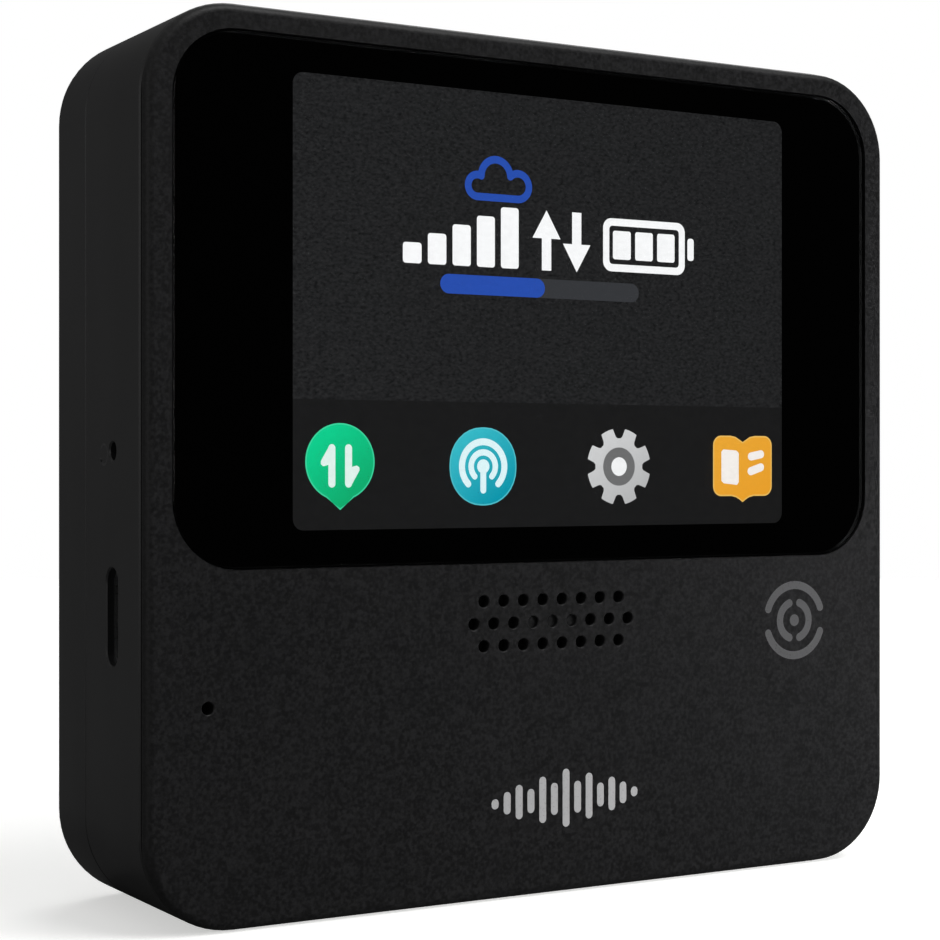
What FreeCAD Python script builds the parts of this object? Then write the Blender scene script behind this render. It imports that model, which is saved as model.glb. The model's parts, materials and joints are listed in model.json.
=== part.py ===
import FreeCAD, Part
import math
import os

from FreeCAD import Vector

# Square pocket hotspot: a black plastic box that stands on its bottom edge, with a colour touch screen,
# a speaker and a microphone in front, a USB-C port and a reset pinhole in its left side and a power button
# in its right side. Millimetres. +X is the viewer's right, +Y runs from the front face to the back, +Z is up,
# and the origin is the middle of the underside. Depths are measured from the front face and turned into Y
# by at().

# Housing
body_w = 86.6
body_h = 85.1
body_d = 23.5
corner_r = 9.1
wall = 1.6
seam_depth = 14.8          # where the rear cover meets the middle frame
seam_chamfer = 0.15
rear_edge_r = 1.5
lap_t = 0.7                # tongue of the frame inside the rear cover
lap_l = 1.2
lap_gap = 0.1

# Front cover: a plate a little smaller than the middle frame, with a shadow gap behind its rounded rim
rim_inset = 0.15
rim_r = 8.6
rim_depth = 0.9
rim_fillet = 0.85
gap_reach = 0.7
gap_t = 0.2
plate_back = 2.0
skirt_gap = 0.15
skirt_t = 0.9
skirt_back = 4.5

# Cover glass, the print and films on its back, and the view through it
glass_w = 81.0
glass_h = 49.4
glass_r = 6.4
glass_z = 57.85
glass_front = 0.05
glass_t = 1.1
glass_gap = 0.08
glass_bevel = 0.12
ink_t = 0.04
film_t = 0.16
view_w = 57.8
view_h = 42.8
view_r = 1.1
view_x = 0.65
view_z = 58.0
window_w = 62.0
window_h = 46.2
window_r = 1.5

# Display stack behind the glass
lcd_w = 60.4
lcd_h = 45.6
lcd_t = 1.3
light_w = 62.6
light_h = 46.6
pan_w = 64.0
pan_h = 47.8
pan_t = 0.4
pan_front = 2.05
pan_back = 4.8
ear_x = 35.2
ear_rows = (41.0, 73.5)
ear_r = 1.9

# Small screws that hold the bracket, the speaker and the board
small_head_r = 1.5
small_head_t = 0.9
small_shank_r = 0.6
small_pilot_r = 0.62
small_clear_r = 0.85

# Speaker and microphone
hole_r = 0.6
hole_pitch = 2.27
hole_rows = 2.19
hole_bevel = 0.08
blind_depth = 0.35
grille_back = 1.2
mesh_t = 0.2
mesh_w = 19.6
mesh_h = 6.2
speaker_z = 27.2
speaker_w = 24.0
speaker_h = 11.0
speaker_r = 1.5
speaker_front = 2.8
speaker_back = 7.8
basket_t = 1.0
basket_rim = 0.8
basket_floor = 0.6
speaker_ear_x = 15.3
speaker_ear_front = 4.0
speaker_ear_t = 0.8
dome_w = 17.0
dome_h = 6.8
dome_front = 3.3
dome_t = 0.3
roll_gap = 0.15
coil_r = 2.9
coil_bore_r = 2.5
coil_l = 2.0
coil_gap = 0.3
magnet_front = 4.4
yoke_t = 1.2
mic_x = -37.1
mic_z = 20.6
mic_boot_r = 2.2
mic_boot_back = 4.0
mic_board_t = 0.6
pin_lead_r = 0.35

# Port, board and switches
port_depth = 7.9
port_z = 28.65
port_l = 9.1
port_s = 2.95
port_lip = 0.85
port_bevel = 0.15
shell_l = 8.94
shell_s = 3.26
shell_t = 0.28
shell_depth = 7.3
shell_gap = 0.15
contact_count = 12
contact_pitch = 0.5
board_w = 82.0
board_z0 = 15.0
board_z1 = 71.0
board_t = 1.2
board_front = port_depth + shell_s / 2
post_x = 34.0
post_rows = (20.0, 66.0)
post_r = 2.0
web_front = 12.8
web_t = 1.0
pinhole_z = 44.0
pinhole_depth = 7.7
pinhole_r = 0.85
plunger_r = 0.6
plunger_gap = 0.1
button_z = 60.0
button_depth = 7.9
button_l = 10.8
button_s = 3.0
button_gap = 0.1
button_proud = 0.4
flange_t = 0.75
flange_reach = 0.9

# Screws through the four corners, and the rubber feet over them
screw_x = 36.7
screw_rows = (6.3, 78.7)
screw_r = 0.98
screw_clear_r = 1.15
screw_tip = 7.0
boss_r = 2.6
rear_boss_r = 3.0
insert_r = 1.6
insert_front = 8.6
head_r = 1.9
head_t = 1.5
head_seat = 19.5
foot_r = 3.5
foot_floor = 22.7
foot_proud = 0.5

# Radio and battery
foil_t = 0.15
foil_front = 5.5
foil_back = 12.0
coax_r = 0.4
coax_xs = (-12.0, 8.0)
cell_w = 64.0
cell_h = 58.0
cell_t = 7.4
cell_z = 42.0
cell_front = 14.0
lead_xs = (17.4, 19.0, 20.6)
lead_r = 0.5

# Derived
mid_z = body_h / 2
side_x = body_w / 2
inner_x = side_x - wall
back_wall = body_d - wall
band_front = rim_depth + gap_t
glass_back = glass_front + glass_t
film_front = glass_back + ink_t
pocket_back = film_front + film_t
light_front = pocket_back + lcd_t
pan_floor = pan_back - pan_t
board_back = board_front + board_t
board_mid_z = (board_z0 + board_z1) / 2
web_back = web_front + web_t
port_mouth = -side_x + port_lip
flange_outer = inner_x - 0.15
plunger_outer = flange_outer - flange_t
cell_back = cell_front + cell_t
cell_top = cell_z + cell_h / 2
sides = (-1, 1)
corners = [(side * screw_x, z) for side in sides for z in screw_rows]
ears = [(side * ear_x, z) for side in sides for z in ear_rows]
posts = [(side * post_x, z) for side in sides for z in post_rows]
speaker_ears = [(side * speaker_ear_x, speaker_z) for side in sides]


def at(depth):
    """The Y of a depth behind the front face."""
    return depth - body_d / 2


def slab(w, h, r, d0, d1, x=0.0, z=mid_z):
    """A rounded rectangle in XZ, centred on x and z, filling the depths d0 to d1."""
    left, right = x - w / 2, x + w / 2
    low, high = z - h / 2, z + h / 2
    y = at(d0)
    corner_turns = [
        (right - r, high - r, 0, (right, low + r), (right, high - r)),
        (left + r, high - r, 90, (right - r, high), (left + r, high)),
        (left + r, low + r, 180, (left, high - r), (left, low + r)),
        (right - r, low + r, 270, (left + r, low), (right - r, low)),
    ]
    edges = []
    for cx, cz, start, run_from, run_to in corner_turns:
        if math.dist(run_from, run_to) > 1e-6:
            ends = [Vector(px, y, pz) for px, pz in (run_from, run_to)]
            edges.append(Part.LineSegment(*ends))
        points = []
        for turn in (0, 45, 90):
            angle = math.radians(start + turn)
            points.append(Vector(cx + r * math.cos(angle), y, cz + r * math.sin(angle)))
        edges.append(Part.Arc(*points))
    outline = Part.Wire([edge.toShape() for edge in edges])
    return Part.Face(outline).extrude(Vector(0, d1 - d0, 0))


def inset_slab(inset, d0, d1):
    """The housing outline moved in by inset, filling the depths d0 to d1."""
    return slab(body_w - 2 * inset, body_h - 2 * inset, corner_r - inset, d0, d1)


def block(x0, x1, d0, d1, z0, z1):
    """A box between two corners, with its X ends in either order."""
    return Part.makeBox(abs(x1 - x0), d1 - d0, z1 - z0, Vector(min(x0, x1), at(d0), z0))


def rod_y(r, d0, d1, x, z):
    """A cylinder along the depth."""
    return Part.makeCylinder(r, d1 - d0, Vector(x, at(d0), z), Vector(0, 1, 0))


def rod_x(r, x0, x1, depth, z):
    """A cylinder across the body."""
    return Part.makeCylinder(r, x1 - x0, Vector(x0, at(depth), z), Vector(1, 0, 0))


def stadium(length, short, x0, x1, depth, z):
    """A slot shape with round ends, long in Z, running along X from x0 to x1."""
    r = short / 2
    straight = length / 2 - r
    shape = block(x0, x1, depth - r, depth + r, z - straight, z + straight)
    for end in (z - straight, z + straight):
        shape = shape.fuse(rod_x(r, x0, x1, depth, end))
    return shape.removeSplitter()


def edges_at(shape, depth):
    """The edges of a shape that lie wholly at one depth."""
    y = at(depth)
    return [e for e in shape.Edges if abs(e.BoundBox.YMin - y) < 1e-4 and abs(e.BoundBox.YMax - y) < 1e-4]


def joined(shapes):
    """Several shapes fused into one tidy solid."""
    return shapes[0].multiFuse(shapes[1:]).removeSplitter()


def separate(shapes):
    """Several solids kept apart in one node."""
    return Part.makeCompound(shapes)


def less(shape, cuts):
    """A shape with a list of shapes cut out of it."""
    return shape.cut(Part.makeCompound(cuts))


def screw(x, z, head_radius, head_from, head_to, shank_r, tip):
    """A pan-head screw along the depth: the head from its seat to its top, the shank on to its tip."""
    recess_depth = 0.6
    arm, half = head_radius * 0.6, head_radius * 0.13
    head = rod_y(head_radius, min(head_from, head_to), max(head_from, head_to), x, z)
    shank = rod_y(shank_r, min(head_from, tip), max(head_from, tip), x, z)
    outward = 1 if head_to > head_from else -1
    ends = (head_to - outward * recess_depth, head_to + outward * recess_depth)
    cross = block(x - arm, x + arm, min(ends), max(ends), z - half, z + half)
    cross = cross.fuse(block(x - half, x + half, min(ends), max(ends), z - arm, z + arm))
    return head.fuse(shank).cut(cross).removeSplitter()


def small_screws(places, seat, top, tip):
    """The same small screw at several places."""
    return separate([screw(x, z, small_head_r, seat, top, small_shank_r, tip) for x, z in places])


def bent_path(spots, bend):
    """A wire through points, with each turn rounded to one radius."""
    pieces = []
    start = spots[0]
    for i in range(1, len(spots) - 1):
        back = (spots[i - 1] - spots[i]).normalize()
        ahead = (spots[i + 1] - spots[i]).normalize()
        into, out = spots[i] + back * bend, spots[i] + ahead * bend
        centre = spots[i] + (back + ahead) * bend
        middle = centre + (spots[i] - centre).normalize() * bend
        pieces += [Part.makeLine(start, into), Part.Arc(into, middle, out).toShape()]
        start = out
    pieces.append(Part.makeLine(start, spots[-1]))
    return Part.Wire(pieces)


def ribbon(points, x0, x1):
    """A flat flex between x0 and x1 that follows depth and Z points."""
    path = bent_path([Vector(x0, at(depth), z) for depth, z in points], 0.5)
    return path.extrude(Vector(x1 - x0, 0, 0)).makeOffsetShape(foil_t, 0.001, fill=True)


def tube(points, r, bend):
    """A round lead through points of X, depth and Z."""
    spots = [Vector(x, at(depth), z) for x, depth, z in points]
    profile = Part.Wire(Part.makeCircle(r, spots[0], spots[1] - spots[0]))
    return bent_path(spots, bend).makePipeShell([profile], True, False)


def front_hole(depth, x, z):
    """A round hole in the front face with a small bevel at its mouth."""
    mouth = Part.makeCone(hole_r + 2 * hole_bevel, hole_r, 2 * hole_bevel, Vector(x, at(-hole_bevel), z),
                          Vector(0, 1, 0))
    return rod_y(hole_r, 0, depth, x, z).fuse(mouth)


def grille_holes():
    """The speaker holes: rows of eight, nine and eight, of which the middle three of nine are blind."""
    holes = []
    for row, count in ((1, 8), (0, 9), (-1, 8)):
        for i in range(count):
            x = (i - (count - 1) / 2) * hole_pitch
            blind = row == 0 and abs(x) < 1.5 * hole_pitch
            depth = blind_depth if blind else grille_back + mesh_t
            holes.append(front_hole(depth, x, speaker_z + row * hole_rows))
    return holes


def front_cover():
    rim = slab(body_w - 2 * rim_inset, body_h - 2 * rim_inset, rim_r, 0, rim_depth)
    rim = rim.makeFillet(rim_fillet, edges_at(rim, 0))
    skirt_in = wall + skirt_gap
    seat_gap = 0.2
    seat_t = 1.0
    seat_back = 3.9
    boot_t = 0.9
    neck = inset_slab(gap_reach, rim_depth, band_front)
    plate = inset_slab(skirt_in, band_front, plate_back)
    skirt = inset_slab(skirt_in, plate_back, skirt_back)
    solids = [rim, neck, plate, skirt.cut(inset_slab(skirt_in + skirt_t, plate_back, skirt_back))]
    solids += [rod_y(boss_r, plate_back, web_front - 0.05, x, z) for x, z in corners]
    solids += [rod_y(insert_r, plate_back, pan_floor, x, z) for x, z in ears]
    solids += [rod_y(small_head_r, plate_back, speaker_ear_front, x, z) for x, z in speaker_ears]
    seat_w, seat_h = speaker_w + 2 * seat_gap, speaker_h + 2 * seat_gap
    seat = slab(seat_w + 2 * seat_t, seat_h + 2 * seat_t, speaker_r + seat_gap + 0.5, plate_back, seat_back,
                z=speaker_z)
    solids.append(seat.cut(slab(seat_w, seat_h, speaker_r + seat_gap, plate_back, seat_back, z=speaker_z)))
    collar = rod_y(mic_boot_r + 0.1 + boot_t, plate_back, mic_boot_back - 0.4, mic_x, mic_z)
    solids.append(collar.cut(rod_y(mic_boot_r + 0.1, plate_back, mic_boot_back, mic_x, mic_z)))
    pocket_w, pocket_h = glass_w + 2 * glass_gap, glass_h + 2 * glass_gap
    cuts = grille_holes()
    cuts.append(front_hole(plate_back + 0.1, mic_x, mic_z))
    cuts.append(slab(pocket_w, pocket_h, glass_r + glass_gap, -1, pocket_back, z=glass_z))
    cuts.append(slab(window_w, window_h, window_r, 0, plate_back + 0.01, view_x, view_z))
    cuts.append(slab(mesh_w + 0.4, mesh_h + 0.4, window_r, grille_back, plate_back, z=speaker_z))
    cuts += [rod_y(insert_r, insert_front, web_front, x, z) for x, z in corners]
    cuts += [rod_y(screw_clear_r, screw_tip - 0.7, insert_front + 0.1, x, z) for x, z in corners]
    cuts += [rod_y(small_pilot_r, plate_back + 0.4, pan_back, x, z) for x, z in ears]
    cuts += [rod_y(small_pilot_r, plate_back + 0.3, speaker_ear_front + 0.1, x, z) for x, z in speaker_ears]
    return less(joined(solids), cuts)


def cover_glass():
    shape = slab(glass_w, glass_h, glass_r, glass_front, glass_back, z=glass_z)
    return shape.makeChamfer(glass_bevel, edges_at(shape, glass_front))


def ink_border():
    """The black print on the back of the glass, with the clear viewing window."""
    margin = 0.2
    w, h = glass_w - 2 * margin, glass_h - 2 * margin
    outer = slab(w, h, glass_r - margin, glass_back, film_front, z=glass_z)
    return outer.cut(slab(view_w, view_h, view_r, glass_back, film_front, view_x, view_z))


def glass_adhesive():
    margin = 0.3
    w, h = glass_w - 2 * margin, glass_h - 2 * margin
    outer = slab(w, h, glass_r - margin, film_front, pocket_back, z=glass_z)
    inner = slab(window_w + 2 * margin, window_h + margin, window_r, film_front, pocket_back, view_x, view_z)
    return outer.cut(inner)


def touch_sensor():
    return slab(window_w - 0.6, window_h - 0.4, window_r, film_front, pocket_back, view_x, view_z)


def lcd_cell():
    return slab(lcd_w, lcd_h, 0.4, pocket_back, light_front, view_x, view_z)


def backlight():
    return slab(light_w, light_h, 0.6, light_front, pan_floor, view_x, view_z)


def lcd_bracket():
    """A folded steel pan that holds the display against the cover, with four screw ears."""
    pan = slab(pan_w, pan_h, 1.0, pan_front, pan_back, view_x, view_z)
    pan = pan.cut(slab(pan_w - 2 * pan_t, pan_h - 2 * pan_t, 0.6, pan_front, pan_floor, view_x, view_z))
    solids = [pan]
    for x, z in ears:
        side = math.copysign(1, x)
        solids.append(block(x, view_x + side * (pan_w / 2 - 1), pan_floor, pan_back, z - ear_r, z + ear_r))
        solids.append(rod_y(ear_r, pan_floor, pan_back, x, z))
    return less(joined(solids), [rod_y(small_clear_r, pan_floor, pan_back, x, z) for x, z in ears])


def bracket_screws():
    return small_screws(ears, pan_back, pan_back + small_head_t, plate_back + 0.6)


def lcd_flex():
    return ribbon([(pan_back, 49.0), (pan_back, 36.6), (board_front - 0.3, 36.6)], -26.0, -14.0)


def touch_flex():
    return ribbon([(pan_back, 46.0), (pan_back, 35.6), (board_front - 0.3, 35.6)], 17.0, 23.0)


def flex_connectors():
    """Two low sockets on the board: a base that a flex stands on, with a bar along its lower edge."""
    sockets = []
    for x0, x1, flex_z in ((-27.0, -13.0, 36.6), (16.0, 24.0, 35.6)):
        base = block(x0, x1, board_front - 0.3, board_front, flex_z - 1.7, flex_z + 0.3)
        bar = block(x0, x1, board_front - 0.9, board_front, flex_z - 1.7, flex_z - 0.75)
        sockets.append(base.fuse(bar).removeSplitter())
    return separate(sockets)


def speaker_mesh():
    return slab(mesh_w, mesh_h, 1.3, grille_back, grille_back + mesh_t, z=speaker_z)


def speaker_gasket():
    outer = slab(speaker_w, speaker_h, speaker_r, plate_back, speaker_front, z=speaker_z)
    return outer.cut(slab(mesh_w + 1, mesh_h + 1.4, 1.2, plate_back, speaker_front, z=speaker_z))


def basket_inside(d0, d1):
    """The space inside the speaker's basket."""
    return slab(speaker_w - 2 * basket_t, speaker_h - 2 * basket_rim, 1.0, d0, d1, z=speaker_z)


def speaker_frame():
    """The plastic basket with an ear at each end."""
    ear_back = speaker_ear_front + speaker_ear_t
    basket = slab(speaker_w, speaker_h, speaker_r, speaker_front, speaker_back, z=speaker_z)
    solids = [basket.cut(basket_inside(speaker_front, speaker_back - basket_floor))]
    for x, z in speaker_ears:
        inboard = math.copysign(speaker_w / 2 - 0.5, x)
        solids.append(block(x, inboard, speaker_ear_front, ear_back, z - insert_r, z + insert_r))
        solids.append(rod_y(insert_r, speaker_ear_front, ear_back, x, z))
    holes = [rod_y(small_clear_r, speaker_ear_front, ear_back, x, z) for x, z in speaker_ears]
    return less(joined(solids), holes)


def speaker_surround():
    """The rubber roll that the dome hangs in."""
    hole_w, hole_h = dome_w + 2 * roll_gap, dome_h + 2 * roll_gap
    roll = basket_inside(dome_front, dome_front + dome_t)
    return roll.cut(slab(hole_w, hole_h, hole_h / 2 - 0.05, dome_front, dome_front + dome_t, z=speaker_z))


def speaker_dome():
    """The stiff plate that moves, with a shallow crown."""
    crown_w, crown_h, crown_t = 13.0, 4.4, 0.25
    plate = slab(dome_w, dome_h, dome_h / 2 - 0.05, dome_front, dome_front + dome_t, z=speaker_z)
    crown = slab(crown_w, crown_h, crown_h / 2 - 0.05, dome_front - crown_t, dome_front, z=speaker_z)
    return joined([plate, crown])


def voice_coil():
    front = dome_front + dome_t
    back = front + coil_l
    return rod_y(coil_r, front, back, 0, speaker_z).cut(rod_y(coil_bore_r, front, back, 0, speaker_z))


def speaker_magnet():
    """Centre magnet and yoke cup, with the coil's gap between them."""
    back = speaker_back - basket_floor
    floor = back - 0.9
    cup = rod_y(coil_r + coil_gap + yoke_t, magnet_front, back, 0, speaker_z)
    cup = cup.cut(rod_y(coil_r + coil_gap, magnet_front, floor, 0, speaker_z))
    return cup.fuse(rod_y(coil_bore_r - coil_gap, magnet_front, floor, 0, speaker_z)).removeSplitter()


def speaker_screws():
    seat = speaker_ear_front + speaker_ear_t
    return small_screws(speaker_ears, seat, seat + small_head_t, plate_back + 0.6)


def speaker_contacts():
    """Two spring pins from the board to the back of the speaker."""
    sleeve_front = board_front - 0.75
    pins = []
    for x in (-8.0, 8.0):
        sleeve = rod_y(0.9, sleeve_front, board_front, x, speaker_z)
        pins.append(sleeve.fuse(rod_y(0.45, speaker_back, sleeve_front, x, speaker_z)))
    return separate(pins)


def mic_boot():
    return rod_y(mic_boot_r, plate_back, mic_boot_back, mic_x, mic_z).cut(
        rod_y(0.5, plate_back, mic_boot_back, mic_x, mic_z))


def mic_board():
    shape = slab(6.0, 5.0, 0.8, mic_boot_back, mic_boot_back + mic_board_t, mic_x, mic_z)
    return shape.cut(rod_y(0.3, mic_boot_back, mic_boot_back + mic_board_t, mic_x, mic_z))


def microphone():
    front = mic_boot_back + mic_board_t
    return slab(3.5, 2.65, 0.3, front, front + 1.0, mic_x, mic_z)


def mic_contacts():
    front = mic_boot_back + mic_board_t
    return separate([rod_y(pin_lead_r, front, board_front, mic_x - 2.2, mic_z + up * 1.6) for up in sides])


def beveled_mouths(shape, x, places):
    """Bevels the openings of a side wall whose edges lie at x and around the given Z places."""
    found = []
    for edge in shape.Edges:
        box = edge.BoundBox
        on_face = abs(box.XMin - x) < 1e-4 and abs(box.XMax - x) < 1e-4
        if on_face and any(abs(box.Center.z - z) < reach for z, reach in places):
            found.append(edge)
    return shape.makeChamfer(port_bevel, found)


def middle_frame():
    """The side band, with a web across it that carries the board in front and the battery behind."""
    band = inset_slab(0, band_front, seam_depth)
    band = band.makeChamfer(seam_chamfer, edges_at(band, band_front) + edges_at(band, seam_depth))
    band = band.cut(inset_slab(wall, band_front, seam_depth))
    tongue_out = wall - lap_t
    tongue = inset_slab(tongue_out, seam_depth, seam_depth + lap_l)
    tongue = tongue.cut(inset_slab(wall, seam_depth, seam_depth + lap_l))
    solids = [band, tongue, inset_slab(wall - 0.1, web_front, web_back)]
    solids += [rod_y(post_r, board_back, web_front, x, z) for x, z in posts]
    left = -side_x
    inside_left, inside_right = -inner_x + 1, inner_x - 1
    shell_room = (shell_l + 2 * shell_gap, shell_s + 2 * shell_gap)
    button_room = (button_l + 2 * button_gap, button_s + 2 * button_gap)
    lead_window = block(14.0, 24.0, web_front, web_back, 72.6, 77.4)
    cuts = [
        lead_window,
        stadium(port_l, port_s, left, inside_left, port_depth, port_z),
        stadium(*shell_room, port_mouth, inside_left, port_depth, port_z),
        rod_x(pinhole_r, left, inside_left, pinhole_depth, pinhole_z),
        stadium(*button_room, inside_right, side_x, button_depth, button_z),
    ]
    cuts += [rod_y(screw_clear_r, web_front, web_back, x, z) for x, z in corners]
    cuts += [rod_y(small_pilot_r, board_back, web_front + 0.6, x, z) for x, z in posts]
    shape = less(joined(solids), cuts)
    return beveled_mouths(shape, left, [(port_z, port_l / 2 + 0.1), (pinhole_z, pinhole_r)])


def main_board():
    shape = slab(board_w, board_z1 - board_z0, 2.0, board_front, board_back, z=board_mid_z)
    return less(shape, [rod_y(small_clear_r, board_front, board_back, x, z) for x, z in posts])


def board_screws():
    return small_screws(posts, board_front, board_front - small_head_t, web_front + 0.4)


def shield_can(x, z, w, h):
    """A pressed tin lid over the board, open towards it."""
    tall, sheet = 1.8, 0.2
    lid = slab(w, h, 0.6, board_front - tall, board_front, x, z)
    return lid.cut(slab(w - 2 * sheet, h - 2 * sheet, 0.4, board_front - tall + sheet, board_front, x, z))


def modem_shield():
    return shield_can(-16.0, 50.0, 28.0, 24.0)


def processor_shield():
    return shield_can(16.0, 50.0, 26.0, 24.0)


def chip(x, z, w, h, tall):
    """A chip on the front of the board."""
    return slab(w, h, 0.2, board_front - tall, board_front, x, z)


def modem_chip():
    return chip(-18.0, 50.0, 15.0, 15.0, 1.1)


def processor_chip():
    return chip(18.0, 50.0, 13.0, 13.0, 1.0)


def support_chips():
    """Memory, power and amplifier chips and the soldered SIM, as X, Z, width and height."""
    under_modem_shield = [(-6.0, 54.5, 6.0, 5.0), (-6.0, 45.0, 6.0, 6.0)]
    under_processor_shield = [(7.5, 54.0, 5.0, 8.0), (7.5, 44.0, 4.0, 5.0)]
    low_on_board = [(-26.0, 23.0, 6.0, 5.0), (25.0, 24.0, 5.0, 5.0)]
    return separate([chip(*spot, 0.9) for spot in under_modem_shield + under_processor_shield + low_on_board])


def small_components():
    """A row of capacitors along the board's lower edge and a row of coils along its upper edge."""
    count, pitch = 9, 7.0
    pieces = []
    for i in range(count):
        x = (i - (count - 1) / 2) * pitch
        pieces.append(block(x - 0.8, x + 0.8, board_front - 0.8, board_front, 17.2, 18.0))
        pieces.append(block(x - 1.2, x + 1.2, board_front - 1.0, board_front, 64.5, 66.9))
    return separate(pieces)


def inside_shell(x0, x1):
    """The space inside the port's shell."""
    return stadium(shell_l - 2 * shell_t, shell_s - 2 * shell_t, x0, x1, port_depth, port_z)


def usb_shell():
    back = port_mouth + shell_depth
    return stadium(shell_l, shell_s, port_mouth, back, port_depth, port_z).cut(inside_shell(port_mouth, back))


def usb_tongue():
    """The insulator that closes the shell's back and carries the contact tongue."""
    base_at = port_mouth + 5.2
    half_t, half_l = 0.35, 3.34
    tongue = block(port_mouth + 0.9, base_at, port_depth - half_t, port_depth + half_t,
                   port_z - half_l, port_z + half_l)
    return joined([inside_shell(base_at, port_mouth + shell_depth), tongue])


def usb_contacts():
    """A row of contacts on each face of the tongue."""
    half_t, pad_t, half_w = 0.35, 0.06, 0.12
    pad_x0, pad_x1 = port_mouth + 1.2, port_mouth + 4.8
    pads = []
    for i in range(contact_count):
        z = port_z + (i - (contact_count - 1) / 2) * contact_pitch
        for front in (port_depth - half_t - pad_t, port_depth + half_t):
            pads.append(block(pad_x0, pad_x1, front, front + pad_t, z - half_w, z + half_w))
    return separate(pads)


def reset_switch():
    """A small side switch on the board, with a bore for its plunger."""
    body = block(-39.6, -36.2, 6.0, board_front, pinhole_z - 2.0, pinhole_z + 2.0)
    return body.cut(rod_x(plunger_r + plunger_gap, -39.6, -37.8, pinhole_depth, pinhole_z))


def reset_plunger():
    return rod_x(plunger_r, -40.3, -38.2, pinhole_depth, pinhole_z)


def power_switch():
    """The same kind of switch, larger and with a square well, behind the power button."""
    half_d, half_z = 0.8 + plunger_gap, 1.2 + plunger_gap
    body = block(36.5, 39.9, 6.1, board_front, button_z - 3.0, button_z + 3.0)
    return body.cut(block(38.4, 39.9, button_depth - half_d, button_depth + half_d,
                          button_z - half_z, button_z + half_z))


def power_plunger():
    return block(38.9, plunger_outer, button_depth - 0.8, button_depth + 0.8, button_z - 1.2, button_z + 1.2)


def power_button():
    """The cap that fills its slot, with a flange behind the wall that keeps it in."""
    outer_x = side_x + button_proud
    cap = stadium(button_l, button_s, flange_outer, outer_x, button_depth, button_z)
    cap = cap.makeFillet(0.3, [e for e in cap.Edges if e.BoundBox.XMin > outer_x - 1e-4])
    half_l = button_l / 2 + flange_reach
    flange = block(plunger_outer, flange_outer, button_depth - button_s / 2, button_depth + button_s / 2,
                   button_z - half_l, button_z + half_l)
    return joined([cap, flange])


def heat_spreader():
    return slab(60.0, 40.0, 1.0, web_front - 0.2, web_front, z=45.0)


def thermal_pad():
    return slab(20.0, 20.0, 0.5, board_back, web_front - 0.2, 16.0, 50.0)


def antenna_top():
    return block(-25.0, 25.0, foil_front, foil_back, body_h - wall - foil_t, body_h - wall)


def antenna_bottom():
    return block(-25.0, 25.0, foil_front, foil_back, wall, wall + foil_t)


def antenna_side():
    return block(inner_x - foil_t, inner_x, foil_front, foil_back, 18.0, 46.0)


def antenna_coax():
    """Two thin coaxial leads from the top antenna down to plugs on the board."""
    top, turn_z, plug_z = body_h - wall - foil_t, 76.0, 70.5
    back, front = 11.0, 8.9
    return separate([
        tube([(x, back, top), (x, back, turn_z), (x, front, turn_z), (x, front, plug_z)], coax_r, 0.9)
        for x in coax_xs
    ])


def coax_plugs():
    top, middle = 70.5, 68.9
    front = 8.3
    plugs = []
    for x in coax_xs:
        barrel = block(x - 0.6, x + 0.6, front, board_front, middle, top)
        plugs.append(barrel.fuse(rod_y(1.3, front, board_front, x, middle)).removeSplitter())
    return separate(plugs)


def battery_cell():
    shape = slab(cell_w, cell_h, 2.5, cell_front, cell_back, z=cell_z)
    return shape.makeFillet(1.5, edges_at(shape, cell_front) + edges_at(shape, cell_back))


def battery_tape():
    return slab(50.0, 44.0, 1.0, web_back, cell_front, z=cell_z)


def battery_foam():
    return slab(40.0, 30.0, 1.0, cell_back, back_wall, z=cell_z)


def battery_protection():
    """The protection board along the top of the cell."""
    return block(-20.0, 26.0, 15.4, 17.4, cell_top, cell_top + 1.4)


def battery_leads():
    """Leads from the protection board, over the web's top and down to the plug."""
    top, turn_z, plug_z = cell_top + 1.4, 75.2, 70.2
    back, front = 16.4, 11.9
    return separate([
        tube([(x, back, top), (x, back, turn_z), (x, front, turn_z), (x, front, plug_z)], lead_r, 1.1)
        for x in lead_xs
    ])


def battery_plug():
    return block(lead_xs[0] - 1.4, lead_xs[-1] + 1.4, board_back, web_front - 0.2, 66.0, 70.2)


def rear_cover():
    """The back shell, with a lap for the frame's tongue and four screw bosses."""
    shape = inset_slab(0, seam_depth, body_d)
    shape = shape.makeFillet(rear_edge_r, edges_at(shape, body_d))
    shape = shape.makeChamfer(seam_chamfer, edges_at(shape, seam_depth))
    shape = shape.cut(inset_slab(wall, seam_depth, back_wall))
    shape = shape.cut(inset_slab(wall - lap_t - lap_gap, seam_depth, seam_depth + lap_l + lap_gap))
    shape = joined([shape] + [rod_y(rear_boss_r, web_back, back_wall, x, z) for x, z in corners])
    cuts = []
    for x, z in corners:
        cuts.append(rod_y(screw_clear_r, web_back, body_d, x, z))
        cuts.append(rod_y(head_r + 0.2, head_seat, body_d, x, z))
        cuts.append(rod_y(foot_r + 0.05, foot_floor, body_d, x, z))
    return less(shape, cuts)


def housing_screws():
    top = head_seat + head_t
    return separate([screw(x, z, head_r, head_seat, top, screw_r, screw_tip) for x, z in corners])


def screw_inserts():
    """Brass inserts in the front cover's bosses."""
    back = web_front - 0.05
    return separate([
        rod_y(insert_r, insert_front, back, x, z).cut(rod_y(screw_r + 0.02, insert_front, back, x, z))
        for x, z in corners
    ])


def rubber_feet():
    """Soft pads that hide the four housing screws."""
    top = body_d + foot_proud
    feet = []
    for x, z in corners:
        foot = rod_y(foot_r, foot_floor, top, x, z)
        feet.append(foot.makeFillet(0.3, edges_at(foot, top)))
    return separate(feet)


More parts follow.
